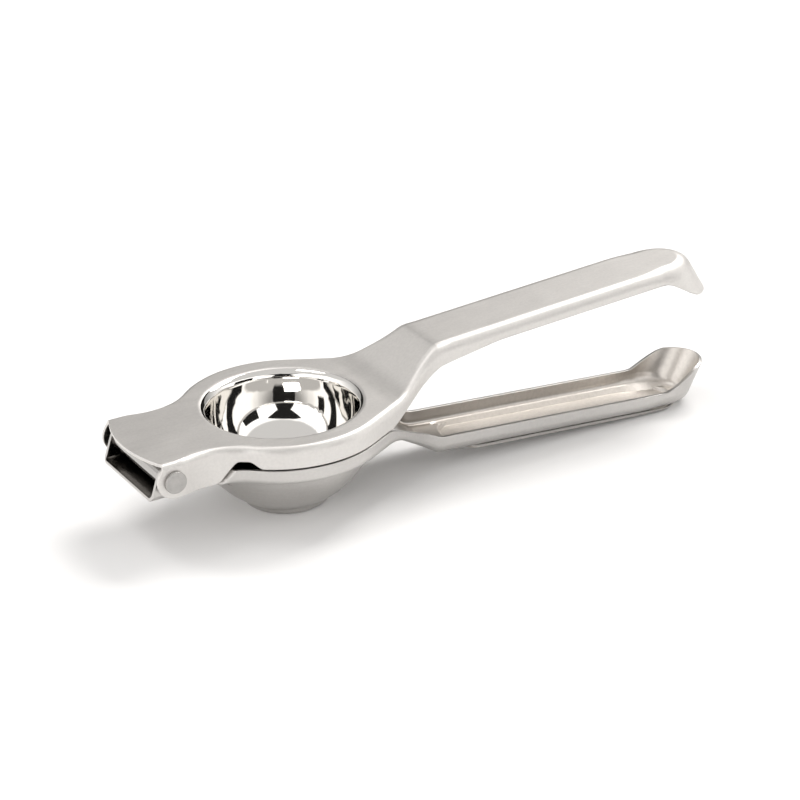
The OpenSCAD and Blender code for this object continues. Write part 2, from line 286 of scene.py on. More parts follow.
def upper_shape(form):
    """The upper lever's skin and flange edge in side view."""
    end, slope = form.upper_end_z, form.upper_slope
    bend, start, grip_end = 34.1, form.grip_start, form.grip_end
    skin = height_of([(-110, 0, 0), (bend, 0, 18), (start, form.upper_rise, 8),
                      (grip_end + 60, end + 60 * slope, 0)])
    low = PIN.z - form.ear_r
    edge = height_of([(-110, low, 0), (-33.5, low, 4), (-27.8, -5, 2), (-24.2, -5, 1.5),
                      (-21.8, -form.flange_h, 2), (bend - 5, -form.flange_h, 14),
                      (start + 0.5, form.upper_rise - 7.4, 12),
                      (start + 24, form.upper_rise + 24 * slope - 4.9, 40),
                      (grip_end, end - 4.9, 7), (grip_end + 13.5, end - form.lip_h, 9),
                      (grip_end + 60, end - form.lip_h - 1, 0)])
    return skin, edge


def lower_shape(form):
    """The lower lever's underside and wall edge in side view."""
    end, start, grip_end = form.lower_end_z, form.grip_start, form.grip_end
    skin = height_of([(-110, form.low_z, 0), (30.5, form.low_z, 15), (start, form.lower_grip_z, 7),
                      (grip_end + 60, end - 60 * form.lower_slope, 0)])
    top = PIN.z + form.round_r
    edge = height_of([(-110, top, 0), (-37, top, 2), (-32.9, form.wall_top, 2),
                      (27.5, form.wall_top, 15), (start + 1, form.lower_grip_z + 6.2, 8),
                      (grip_end, end + 6.2, 7), (grip_end + 12.5, end + form.lip_h - 1, 9),
                      (grip_end + 60, end + form.lip_h, 0)])
    return skin, edge


def front_edge(form, turned):
    """A wall's front edge in side view: straight to the rounding about the rivet, then round it."""
    pin = Vector((PIN.x, PIN.z))
    if turned == SHEET_TOP:
        foot, r, side, last = Vector((form.corner_x, 0)), form.ear_r, -1, -90
    else:
        foot, r, side, last = Vector((form.tray_front, form.low_z)), form.round_r, 1, 90
    touch = touching(foot, pin, r, side)
    first = math.degrees(math.atan2(touch.y - pin.y, touch.x - pin.x)) % 360
    last = last % 360
    arc = [pin + Vector((math.cos(a), math.sin(a))) * r
           for a in (math.radians(first + (last - first) * i / 40) for i in range(41))]
    return Trace([foot] + arc)


class Lever:
    """Every row of points that makes one lever's skin, before any of it is modelled."""

    def __init__(self, form, turned):
        self.form, self.turned = form, turned
        self.skin, self.edge = (upper_shape if turned == SHEET_TOP else lower_shape)(form)
        self.mouth = form.mouth_r if turned == SHEET_TOP else math.sqrt(
            form.bowl_out ** 2 - (form.low_z - form.bowl_z) ** 2) + form.bowl_lip
        outline = ring_outline(form)
        marks = [outline.length * i / 800 for i in range(801)]
        self.widths = sorted((outline.at(s).x, outline.at(s).y) for s in marks)
        self.stations = [self.front_rows()]
        s = 0.0
        while s < outline.length:
            self.stations.append(self.rows(outline.at(s), outline.normal(s)))
            s += spacing(outline.at(s).x)
        self.tip = [self.tip_rows(math.pi * (0.5 - j / ACROSS)) for j in range(ACROSS + 1)]
        edge = self.stations[-1][0].y
        self.spread = [1.0] + [rows[0].y / edge for rows in self.tip[1:-1]] + [-1.0]
        reach = form.mouth_r + 5
        places = [rows[0].x for rows in self.stations]
        self.neck_at = min(i for i, x in enumerate(places) if x > -reach)
        self.grip_at = max(i for i, x in enumerate(places) if x < reach)

    def fold(self, x):
        form = self.form
        grown = form.ring_fold + (form.grip_fold - form.ring_fold) * smooth(x, 28, 52)
        return grown + (form.tip_fold - form.grip_fold) * smooth(x, form.tip_x - 10, form.tip_x + 8)

    def joggled(self, p):
        """Draws the lower lever's neck in, so that it turns inside the ears."""
        if self.turned == SHEET_TOP or p.x > -20 or abs(p.y) < 1e-6:
            return p
        step = -27.8 + 0.65 + (p.z + 5.0) * 5.7 / 7.1
        out = smooth(p.x, step - 1.0, step + 1.4)
        shrunk = abs(p.y) - (1 - out) * (self.width_at(p.x) - self.form.tray_half)
        return Vector((p.x, math.copysign(shrunk, p.y), p.z))

    def width_at(self, x):
        i = bisect.bisect_left(self.widths, (x, 0))
        return self.widths[min(max(i, 0), len(self.widths) - 1)][1]

    def rows(self, p, n):
        """One section's points on the +y side: skin edge, round the fold and down the wall."""
        form = self.form
        flare = smooth(p.x, form.tip_x - 12, form.tip_x) * math.tan(form.lip_lean)
        lean = math.atan(flare * max(n.x, 0.0))
        turn = math.pi / 2 - lean
        fold = self.fold(p.x)
        q = p - n * (fold * math.tan(turn / 2))
        out = []
        for k in range(FOLD_ROWS + 1):
            a = turn * k / FOLD_ROWS
            at = q + n * (fold * math.sin(a))
            out.append(Vector((at.x, at.y, self.skin(at.x) + self.turned * fold * (1 - math.cos(a)))))
        end = out[-1]
        deep = abs(end.z - self.edge(end.x))
        for _ in range(12):
            deep = 0.5 * deep + 0.5 * abs(end.z - self.edge(end.x + flare * deep))
        for k in range(1, WALL_ROWS + 1):
            f = deep * k / WALL_ROWS
            out.append(end + Vector((flare * f, 0, self.turned * f)))
        return [self.joggled(v) for v in out]

    def tip_rows(self, angle):
        form = self.form
        long_r = form.grip_r / math.cos(form.lip_lean)
        p = Vector((form.tip_x + long_r * math.cos(angle), form.grip_r * math.sin(angle)))
        n = Vector((math.cos(angle) / long_r, math.sin(angle) / form.grip_r)).normalized()
        return self.rows(p, n)

    def front_rows(self):
        """The rows of the front edge, along the nose and down the front of the wall."""
        form = self.form
        line = front_edge(form, self.turned)
        fold = form.ring_fold
        half = form.ear_half if self.turned == SHEET_TOP else form.tray_half
        base = 0.0 if self.turned == SHEET_TOP else form.low_z
        out = []
        for k in range(FOLD_ROWS + 1):
            a = math.pi / 2 * k / FOLD_ROWS
            drop = fold * (1 - math.cos(a))
            y = half - fold + fold * math.sin(a)
            ahead = line.at(self.length_at(line, drop)).x - line.points[0].x
            out.append(Vector((self.nose(y) + ahead, y, base + self.turned * drop)))
        start = self.length_at(line, fold)
        for k in range(1, WALL_ROWS + 1):
            q = line.at(start + (line.length - start) * k / WALL_ROWS)
            out.append(Vector((q.x, half, q.y)))
        return out

    @staticmethod
    def length_at(line, drop):
        """How far along a front edge it has come this far from the plate."""
        first = line.points[0].y
        s = 0.0
        while abs(line.at(s).y - first) < drop and s < line.length:
            s += 0.02
        return s

    def nose(self, y):
        form = self.form
        if self.turned == SHEET_UNDER:
            return form.tray_front
        return form.nose_x + form.nose_r - math.sqrt(form.nose_r ** 2 - y * y)

    def section(self, i):
        """The points across the skin at a station, from +y to -y."""
        edge = self.stations[i][0]
        out = []
        for share in self.spread:
            y = edge.y * share
            x = self.nose(y) if i == 0 else edge.x
            out.append(Vector((x, y, self.skin(x))))
        return out

    def border(self, first, k):
        """Row k of the wall, from a station on the +y side round the tip and back along -y."""
        side = [rows[k] for rows in self.stations[first:]]
        tip = [rows[k] for rows in self.tip]
        return side + tip + [flipped(v) for v in reversed(side)]


def flipped(v):
    return Vector((v.x, -v.y, v.z))


# -------------------------------------------------------------- modelling tools

def key(v):
    return (round(v.x, 3), round(v.y, 3), round(v.z, 3))


def start_loop(name, points):
    """A new piece that is one ring of edges through the points, in edit mode."""
    bpy.ops.object.select_all(action="DESELECT")
    bpy.ops.mesh.primitive_circle_add(vertices=len(points), radius=1.0)
    piece = bpy.context.object
    piece.name = piece.data.name = name
    for corner, place in zip(piece.data.vertices, points):
        corner.co = place
    bpy.ops.object.mode_set(mode="EDIT")
    bpy.ops.mesh.select_mode(type="EDGE")
    bpy.ops.mesh.select_all(action="SELECT")
    return piece


def add_loop(piece, points):
    """Another ring of edges in the same piece, left selected."""
    bpy.ops.mesh.select_all(action="DESELECT")
    bpy.ops.mesh.primitive_circle_add(vertices=len(points), radius=1.0)
    shape = bmesh.from_edit_mesh(piece.data)
    fresh = [v for v in shape.verts if v.select]
    for corner, place in zip(fresh, points):
        corner.co = place
    bmesh.update_edit_mesh(piece.data)


def pick(piece, points):
    """Selects the free edges that run between these points."""
    bpy.ops.mesh.select_all(action="DESELECT")
    keys = {key(p) for p in points}
    shape = bmesh.from_edit_mesh(piece.data)
    for edge in shape.edges:
        if len(edge.link_faces) < 2 and all(key(v.co) in keys for v in edge.verts):
            edge.select_set(True)
    bmesh.update_edit_mesh(piece.data)


def pull(piece, old, new):
    """Extrudes the selected edges and sets each new corner in its place."""
    places = {key(a): b for a, b in zip(old, new)}
    bpy.ops.mesh.extrude_edges_move()
    shape = bmesh.from_edit_mesh(piece.data)
    for corner in shape.verts:
        if corner.select:
            corner.co = places[key(corner.co)]
    bmesh.update_edit_mesh(piece.data)


def close_pole(piece):
    """Draws the selected ring together in one point."""
    bpy.ops.mesh.extrude_edges_move()
    bpy.ops.mesh.merge(type="CENTER")


def ring(r, z, angles):
    return [Vector((r * math.cos(a), r * math.sin(a), z)) for a in angles]


def profile_rows(path, step):
    """A side profile of (radius, height, rounding) as rows about step apart."""
    line = Trace(rounded(path))
    count = max(2, round(line.length / step))
    return [line.at(line.length * i / count) for i in range(1, count + 1)]


def modifier(piece, kind, **settings):
    """Adds a modifier and applies it."""
    made = piece.modifiers.new(kind.title(), kind)
    for name, value in settings.items():
        setattr(made, name, value)
    bpy.context.view_layer.objects.active = piece
    bpy.ops.object.modifier_apply(modifier=made.name)


def seat(piece):
    """Moves a piece that was modelled in millimetres into the frame."""
    piece.data.transform(SEAT)
    piece.data.update()


# ------------------------------------------------------------------ lever skins

def model_ring(lever, name):
    """The land round a lever's mouth. Returns the piece, the mouth and the angles of its points."""
    first, last = lever.neck_at, lever.grip_at
    sides = [rows[0] for rows in lever.stations[first:last + 1]]
    loop = list(sides)
    loop += lever.section(last)[1:-1]
    loop += [flipped(v) for v in reversed(sides)]
    loop += list(reversed(lever.section(first)[1:-1]))
    angles = [math.atan2(v.y, v.x) for v in loop]
    rim_z = lever.skin(0)
    mouth = ring(lever.mouth, rim_z, angles)
    piece = start_loop(name, mouth)
    old = mouth
    for k in range(1, LAND_ROWS + 1):
        new = []
        for a, b in zip(mouth, loop):
            at = a.lerp(b, k / LAND_ROWS)
            new.append(b if k == LAND_ROWS else Vector((at.x, at.y, lever.skin(at.x))))
        pull(piece, old, new)
        old = new
    return piece, mouth, angles


def model_neck(lever, piece):
    old = lever.section(lever.neck_at)
    pick(piece, old)
    for i in range(lever.neck_at - 1, -1, -1):
        new = lever.section(i)
        pull(piece, old, new)
        old = new


def model_grip(lever, piece, until):
    old = lever.section(lever.grip_at)
    pick(piece, old)
    for i in range(lever.grip_at + 1, until + 1):
        new = lever.section(i)
        pull(piece, old, new)
        old = new
    return old


def model_walls(lever, piece):
    old = lever.border(0, 0)
    pick(piece, old)
    for k in range(1, FOLD_ROWS + WALL_ROWS + 1):
        new = lever.border(0, k)
        pull(piece, old, new)
        old = new


def finish_sheet(lever, piece, outside, inside):
    """Turns the skin outwards and gives it its thickness and the finish of each side."""
    piece.data.materials.append(outside)
    piece.data.materials.append(inside)
    bpy.ops.mesh.select_all(action="SELECT")
    bpy.ops.mesh.remove_doubles(threshold=MERGE)
    bpy.ops.mesh.normals_make_consistent(inside=False)
    shape = bmesh.from_edit_mesh(piece.data)
    on_neck = Vector((-42, 0, lever.skin(-42)))
    probe = min(shape.faces, key=lambda f: (f.calc_center_median() - on_neck).length)
    if probe.normal.z * -lever.turned < 0:
        bpy.ops.mesh.flip_normals()
    bpy.ops.object.mode_set(mode="OBJECT")
    modifier(piece, "SOLIDIFY", thickness=lever.form.sheet, offset=-1.0, use_quality_normals=True,
             material_offset=1)


def break_edges(piece):
    """Rounds the sheet's cut edges a little."""
    modifier(piece, "BEVEL", width=CUT_EDGE, segments=2, limit_method="ANGLE",
             angle_limit=math.radians(60), use_clamp_overlap=False)


def soften(piece):
    """Shades a piece smooth, with its flat faces kept flat."""
    bpy.ops.object.select_all(action="DESELECT")
    piece.select_set(True)
    bpy.context.view_layer.objects.active = piece
    bpy.ops.object.shade_smooth()
    modifier(piece, "WEIGHTED_NORMAL", keep_sharp=False, weight=60)


def cut(piece, cutters):
    """Cuts the cutters out of a piece and deletes them."""
    bpy.ops.object.select_all(action="DESELECT")
    for cutter in cutters:
        cutter.select_set(True)
    bpy.context.view_layer.objects.active = cutters[0]
    if len(cutters) > 1:
        bpy.ops.object.join()
    modifier(piece, "BOOLEAN", operation="DIFFERENCE", solver="EXACT", object=cutters[0])
    bpy.ops.object.select_all(action="DESELECT")
    cutters[0].select_set(True)
    bpy.ops.object.delete()


def rod(place, radius, depth, rotation=(0, 0, 0)):
    """A plain rod to cut a hole with, upright unless it is turned."""
    bpy.ops.object.select_all(action="DESELECT")
    bpy.ops.mesh.primitive_cylinder_add(vertices=HOLE_FACES, radius=radius, depth=depth,
                                        location=place, rotation=rotation)
    made = bpy.context.object
    bpy.ops.object.transform_apply(location=True, rotation=True, scale=True)
    return made


def model_press_lever(form, outside, inside):
    lever = Lever(form, SHEET_TOP)
    piece, mouth, angles = model_ring(lever, "press_sheet")
    model_neck(lever, piece)
    old = model_grip(lever, piece, len(lever.stations) - 1)
    pull(piece, old, [rows[0] for rows in lever.tip])
    model_walls(lever, piece)
    pick(piece, mouth)
    old = mouth
    for k in range(1, ROLL_ROWS + 1):
        a = math.radians(90 + 90 * k / ROLL_ROWS)
        new = ring(form.mouth_r + form.rim_roll * math.cos(a),
                   form.ball_z + form.rim_roll * math.sin(a), angles)
        pull(piece, old, new)
        old = new
    for k in range(1, CUP_ROWS):
        a = math.radians(90 * k / CUP_ROWS)
        new = ring(form.cup_r * math.cos(a), form.ball_z - form.cup_r * math.sin(a), angles)
        pull(piece, old, new)
        old = new
    close_pole(piece)
    finish_sheet(lever, piece, outside, inside)
    break_edges(piece)
    soften(piece)
    return piece


def panel_loops(lever, first):
    """The handle floor's own outline, and a function for the panel's outline inside it."""
    form = lever.form
    tilt = math.atan(form.lower_slope)
    near = form.grip_start + (form.panel_start + form.panel_half) * math.cos(tilt)
    far = form.grip_start + (form.grip_len + form.panel_past - form.panel_half) * math.cos(tilt)
    start = lever.stations[first][0]
    outer = list(reversed(lever.section(first)))
    side = [rows[0] for rows in lever.stations[first + 1:]]
    tip = [rows[0] for rows in lever.tip]
    outer += side + tip + [flipped(v) for v in reversed(side)]
    for v in outer:
        v.freeze()
    tip_points = {v: math.pi * (0.5 - j / ACROSS) for j, v in enumerate(tip)}

    def place(v, half):
        if v in tip_points:
            angle = tip_points[v]
            return far + half * math.cos(angle), half * math.sin(angle)
        side_sign = 1 if v.y > 0 else -1
        if v.x >= far:
            return far, side_sign * half
        if v.x >= near:
            return v.x, side_sign * half
        if v.x > start.x + 1e-6:
            angle = math.radians(90 + 55 * (near - v.x) / (near - start.x))
            return near + half * math.cos(angle), side_sign * half * math.sin(angle)
        angle = math.radians(180 - 35 * v.y / start.y)
        return near + half * math.cos(angle), half * math.sin(angle)

    def panel(half, drop):
        points = []
        for v in outer:
            x, y = place(v, half)
            points.append(Vector((x, y, lever.skin(x) - drop)))
        return points
    return outer, panel


def model_panel(lever, piece, first):
    """The floor of the lower handle with the long panel pressed down in it."""
    form = lever.form
    outer, panel = panel_loops(lever, first)
    half = form.panel_half + form.sheet
    rim = panel(half + 0.5, 0)
    add_loop(piece, rim)
    old = rim
    for k in range(1, PANEL_ROWS + 1):
        new = [a.lerp(b, k / PANEL_ROWS) for a, b in zip(rim, outer)]
        new = [Vector((v.x, v.y, lever.skin(v.x))) for v in new] if k < PANEL_ROWS else outer
        pull(piece, old, new)
        old = new
    pick(piece, rim)
    old = rim
    deepest = PANEL_SIDE[-1][1]
    for grow, drop in PANEL_SIDE:
        new = panel(half + grow, form.panel_depth * drop / deepest)
        pull(piece, old, new)
        old = new
    bpy.ops.mesh.edge_face_add()


def model_bowl_lever(form, outside, inside):
    lever = Lever(form, SHEET_UNDER)
    piece, mouth, angles = model_ring(lever, "bowl_sheet")
    model_neck(lever, piece)
    first = min(i for i, rows in enumerate(lever.stations) if rows[0].x > form.grip_start + 5)
    model_grip(lever, piece, first)
    model_panel(lever, piece, first)
    bpy.ops.mesh.select_all(action="SELECT")
    bpy.ops.mesh.remove_doubles(threshold=MERGE)
    model_walls(lever, piece)
    pick(piece, mouth)
    old = mouth
    join_r = math.sqrt(form.bowl_out ** 2 - (form.low_z - form.bowl_z) ** 2)
    high = math.asin((form.bowl_z - form.low_z) / form.bowl_out)
    low = math.acos(form.foot_r / form.bowl_out)
    dome = [(form.bowl_out * math.cos(a), form.bowl_z - form.bowl_out * math.sin(a), 0)
            for a in (high + (low - high) * i / BOWL_ROWS for i in range(2, BOWL_ROWS))]
    path = [(lever.mouth, form.low_z, 0), (join_r, form.low_z, 1.0)] + dome
    path += [(form.foot_r, form.bowl_z - form.bowl_out * math.sin(low), 0.5),
             (form.foot_r, form.foot_z, 0.9), (2.0, form.foot_z, 0)]
    for q in profile_rows(path, 0.75):
        new = ring(q.x, q.y, angles)
        pull(piece, old, new)
        old = new
    close_pole(piece)
    finish_sheet(lever, piece, outside, inside)
    break_edges(piece)
    holes = [rod((PIN.x, 0, PIN.z), form.pin_d / 2 + RUN_FIT, 60, (math.pi / 2, 0, 0))]
    drains = [(0, 0, form.foot_z)]
    for share, count in DRAIN_RINGS:
        radius = share * form.foot_r
        turns = [2 * math.pi * (i + 0.5) / count for i in range(count)]
        drains += [(radius * math.cos(a), radius * math.sin(a), form.foot_z) for a in turns]
    holes += [rod(drain, form.drain_d / 2, 8) for drain in drains]
    cut(piece, holes)
    soften(piece)
    return piece


def turned_piece(name, path):
    """Turns a profile of (radius, place along the axis, rounding) about the rivet's axis."""
    rows = rounded(path)
    angles = [2 * math.pi * i / ROUND_FACES for i in range(ROUND_FACES)]

    def hoop(q):
        return [Vector((PIN.x + q.x * math.cos(a), q.y, PIN.z + q.x * math.sin(a))) for a in angles]

    piece = start_loop(name, hoop(rows[0]))
    for before, after in zip(rows, rows[1:]):
        pull(piece, hoop(before), hoop(after))
    bpy.ops.mesh.select_all(action="SELECT")
    bpy.ops.mesh.remove_doubles(threshold=MERGE)
    bpy.ops.mesh.normals_make_consistent(inside=False)
    bpy.ops.object.mode_set(mode="OBJECT")
    soften(piece)
    return piece


def model_rivet(form):
    """The shank with a low round head at each end, dipped a little in its middle."""
    head, shank, half = form.head_d / 2, form.pin_d / 2, form.ear_half
    top = half + form.head_h
    low = top - form.head_dip
    right = [(0.05, low, 0), (head - 1.3, low, 0.4), (head - 0.75, top, 0.3), (head, top, 0.3),
             (head, half, 0.15), (shank, half, 0.2)]
    return turned_piece("rivet", right + [(r, -y, c) for r, y, c in reversed(right)])


def model_sleeve(form):
    """The tube on the rivet, a little shorter than the room between the lower lever's walls."""
    outer, bore = form.sleeve_d / 2, form.pin_d / 2 + RUN_FIT
    end_play = 0.1
    half = form.tray_half - form.sheet - end_play
    path = [(bore, 0, 0), (bore, half, 0.15), (outer, half, 0.35), (outer, -half, 0.35),
            (bore, -half, 0.15), (bore, 0, 0)]
    return turned_piece("sleeve", path)


# -------------------------------------------------------------------- materials

class Socket:
    """A node's output or a plain number, so that shader maths reads as an expression."""

    def __init__(self, paint, value):
        self.paint, self.value = paint, value

    def _math(self, operation, a, b=0.0):
        return self.paint.node("ShaderNodeMath", {"operation": operation}, {0: a, 1: b}).out(0)

    def __add__(self, other):
        return self._math("ADD", self, other)

    def __sub__(self, other):
        return self._math("SUBTRACT", self, other)

    def __rsub__(self, other):
        return self._math("SUBTRACT", other, self)

    def __mul__(self, other):
        return self._math("MULTIPLY", self, other)

    __radd__ = __add__
    __rmul__ = __mul__

    def __truediv__(self, other):
        return self._math("DIVIDE", self, other)

    def __neg__(self):
        return self._math("MULTIPLY", self, -1.0)

    def __abs__(self):
        return self._math("ABSOLUTE", self, 0.0)

    def above(self, limit, soft=0.02):
        """1 above the limit, 0 below it, with an edge as wide as soft."""
        return ((self - limit) / soft + 0.5).clamped()

    def clamped(self):
        return self.paint.node("ShaderNodeClamp", {}, {0: self}).out(0)


class Node:
    def __init__(self, paint, node):
        self.paint, self.node = paint, node

    def out(self, name):
        return Socket(self.paint, self.node.outputs[name])


class Paint:
    """The nodes of a material or of the surroundings."""

    def __init__(self, owner):
        self.owner = owner
        owner.use_nodes = True
        self.tree = owner.node_tree
        self.tree.nodes.clear()

    def node(self, kind, settings, values):
        """Adds a node: its settings first, then the values or links of its sockets."""
        made = self.tree.nodes.new(kind)
        for name, value in settings.items():
            if name == "stops":
                ramp = made.color_ramp
                for i, (place, colour) in enumerate(value):
                    stop = ramp.elements[i] if i < 2 else ramp.elements.new(place)
                    stop.position, stop.color = place, colour
            else:
                setattr(made, name, value)
        for name, value in values.items():
            socket = made.inputs[name]
            if isinstance(value, Socket):
                self.tree.links.new(value.value, socket)
            else:
                socket.default_value = value
        return Node(self, made)

    def mix(self, share, a, b):
        """A mix of two colours."""
        return self.node("ShaderNodeMix", {"data_type": "RGBA"}, {0: share, 6: a, 7: b}).out(2)

    def place(self):
        """The object's own coordinates."""
        return self.node("ShaderNodeTexCoord", {}, {}).out("Object")

    def grain(self, stretch, detail):
        """Noise on the object's own coordinates, so many swells to the metre along each axis."""
        fitted = self.node("ShaderNodeMapping", {}, {"Vector": self.place(), "Scale": stretch})
        return self.node("ShaderNodeTexNoise", {}, {
            "Vector": fitted.out(0), "Scale": 1.0, "Detail": detail, "Roughness": 0.55}).out(0)

    def steel(self, colour, roughness, bump):
        """A bare metal surface."""
        surface = {"Base Color": colour, "Metallic": 1.0, "Roughness": roughness}
        if bump is not None:
            height, strength = bump
            surface["Normal"] = self.node("ShaderNodeBump", {}, {
                "Height": height, "Strength": strength, "Distance": 0.0004}).out(0)
        shader = self.node("ShaderNodeBsdfPrincipled", {}, surface)
        self.node("ShaderNodeOutputMaterial", {}, {0: shader.out(0)})
        return self.owner


def rgba(colour, share=1.0):
    return tuple(c * share for c in colour) + (1.0,)


def satin_steel(finish, name, share=1.0, rougher=0.0, streaks=(60, 900, 900)):
    """Fine satin steel: grain drawn out along streaks, a fine speckle and faint cloudy patches."""
    paint = Paint(bpy.data.materials.new(name))
    brushed = paint.grain(streaks, 2.0)
    cloud = paint.grain((45, 60, 60), 4.0)
    speckle = paint.grain((1100, 1100, 1100), 1.0)
    tone = (cloud * 0.4 + brushed * 0.35 + speckle * 0.55 - 0.15).clamped()
    colour = paint.mix(tone, rgba(finish.satin, share * 0.88), rgba(finish.satin, share * 1.10))
    roughness = finish.satin_roughness + rougher + (cloud - 0.5) * 0.06 + (brushed - 0.5) * 0.05
    return paint.steel(colour, roughness, (brushed * 0.5 + speckle * 0.5, 0.02))


def rolled_steel(finish, name):
    """The sheet's inner side, smooth from the mill, with painted shade darkening it in the hinge recess
    and painted light making it paler along the handle.
    """
    hinge_end, handle_start = -0.080, 0.012
    paint = Paint(bpy.data.materials.new(name))
    along = paint.node("ShaderNodeSeparateXYZ", {}, {0: paint.place()}).out(0)
    # painted shade: this mask marks the hinge recess, where the inner side's colour is darkened to stand
    # in for the deep shade there
    painted_shade_recess = (hinge_end - along).above(0.0, 0.010)
    handle = along.above(handle_start, 0.02)
    cloud = paint.grain((60, 60, 60), 4.0)
    speckle = paint.grain((900, 900, 900), 1.0)
    open_side = paint.mix(cloud, rgba(finish.mill, 0.94), rgba(finish.mill, 1.06))
    # painted light: along the handle the inner side is speckled and made up to 22 % paler, standing in
    # for the light that falls on it
    handle_speckle_painted_light = paint.mix(speckle, rgba(finish.mill, 0.98), rgba(finish.mill, 1.22))
    colour = paint.mix(handle, open_side, handle_speckle_painted_light)
    # painted shade: the inner side in the hinge recess is darkened to 0.34 of its colour
    colour = paint.mix(painted_shade_recess, colour, rgba(finish.mill, 0.34))
    roughness = finish.mill_roughness + (cloud - 0.5) * 0.08 + handle * 0.10 - painted_shade_recess * 0.10
    return paint.steel(colour, roughness, None)


def polished_steel(finish):
    """The mirror finish inside the cup, with a breath of polishing haze."""
    paint = Paint(bpy.data.materials.new("polished_steel"))
    haze = paint.grain((120, 120, 120), 3.0)
    colour = paint.mix(haze, rgba(finish.mirror, 0.97), rgba(finish.mirror))
    return paint.steel(colour, finish.mirror_roughness + haze * 0.02, None)


def rivet_steel(finish):
    """Cold-headed steel with small pits."""
    paint = Paint(bpy.data.materials.new("rivet_steel"))
    cells = paint.node("ShaderNodeTexVoronoi", {}, {"Vector": paint.place(), "Scale": 700.0}).out(0)
    pits = paint.node("ShaderNodeValToRGB", {"stops": [(0.0, (0, 0, 0, 1)), (0.22, (1, 1, 1, 1))]},
                      {0: cells}).out(0)
    grain = paint.grain((500, 500, 500), 3.0)
    colour = paint.mix(grain, rgba(finish.satin, 0.48), rgba(finish.satin, 0.72))
    return paint.steel(colour, 0.36 + grain * 0.1, (pits, 0.25))


def polish_cup(piece, form, mirror):
    """Gives the inside of the cup, from half-way round its rim, the mirror finish."""
    near, half_way = 0.35, 0.45              # a face's distance from the skin, share of the roll
    piece.data.materials.append(mirror)
    polished = len(piece.data.materials) - 1
    for face in piece.data.polygons:
        c = face.center
        across, up = math.hypot(c.x, c.y), c.z - form.ball_z
        dome = up < 0.05 and math.hypot(across, up) < form.cup_r + near
        roll = (up >= 0 and across < form.mouth_r - half_way * form.rim_roll
                and math.hypot(across - form.mouth_r, up) > form.rim_roll - near)
        if dome or roll:
            face.material_index = polished


# -------------------------------------------------------------------- operators

class CITRUS_OT_press_lever(bpy.types.Operator):
    """Model the upper lever with its press cup"""

    bl_idname = "citrus.press_lever"
    bl_label = "Upper Lever"

    def execute(self, context):
        form = Form(context.scene.press_sizes)
        finish = context.scene.press_finish
        piece = model_press_lever(form, satin_steel(finish, "satin_steel"),
                                  rolled_steel(finish, "lever_inner_steel"))
        polish_cup(piece, form, polished_steel(finish))
        seat(piece)
        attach(piece, "press")
        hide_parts("press_lever")
        return {"FINISHED"}


class CITRUS_OT_bowl_lever(bpy.types.Operator):
    """Model the lower lever with its bowl and drain holes"""

    bl_idname = "citrus.bowl_lever"
    bl_label = "Lower Lever"

    def execute(self, context):
        form = Form(context.scene.press_sizes)
        finish = context.scene.press_finish
        # painted shade: the lower lever's outside is the same satin steel darkened to 0.80 for the shade
        # under the press; its grain runs round the bowl and it is a little glossier
        outside = satin_steel(finish, "bowl_satin_steel", 0.80, -0.12, (40, 40, 900))
        piece = model_bowl_lever(form, outside, rolled_steel(finish, "bowl_inner_steel"))
        seat(piece)
        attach(piece, "tray")
        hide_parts("bowl_lever")
        return {"FINISHED"}


class CITRUS_OT_hinge(bpy.types.Operator):
    """Model the rivet and the sleeve on it"""

    bl_idname = "citrus.hinge"
    bl_label = "Rivet and Sleeve"

    def execute(self, context):
        form = Form(context.scene.press_sizes)
        finish = context.scene.press_finish
        rivet = model_rivet(form)
        rivet.data.materials.append(rivet_steel(finish))
        seat(rivet)
        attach(rivet, "press")
        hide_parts("hinge_rivet")
        sleeve = model_sleeve(form)
        sleeve.data.materials.append(satin_steel(finish, "sleeve_steel", 0.62, -0.40))
        seat(sleeve)
        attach(sleeve, "tray")
        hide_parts("spacer_sleeve")
        return {"FINISHED"}


def plain(name, colour):
    """A matt colour for the stage."""
    paint = Paint(bpy.data.materials.new(name))
    shader = paint.node("ShaderNodeBsdfPrincipled", {}, {
        "Base Color": rgba(colour), "Roughness": 0.9, "Specular IOR Level": 0.0})
    paint.node("ShaderNodeOutputMaterial", {}, {0: shader.out(0)})
    return paint.owner


def card(name, place, size, towards, material):
    """A flat stage card that faces a point."""
    bpy.ops.object.select_all(action="DESELECT")
    bpy.ops.mesh.primitive_plane_add(size=1.0, location=place)
    made = bpy.context.object
    made.name = name
    made.scale = (size[0], size[1], 1)
    made.rotation_euler = (Vector(towards) - Vector(place)).to_track_quat("Z", "Y").to_euler()
    made.data.materials.append(material)


def softbox(name, place, size, strength, towards, colour):
    """A rectangular soft lamp that faces a point."""
    lamp = bpy.data.lights.new(name, "AREA")
    lamp.shape = "RECTANGLE"
    lamp.size, lamp.size_y = size
    lamp.energy = strength
    lamp.color = colour
    made = bpy.data.objects.new(name, lamp)
    made.location = place
    made.rotation_euler = (Vector(towards) - Vector(place)).to_track_quat("-Z", "Y").to_euler()
    bpy.context.scene.collection.objects.link(made)
    return made


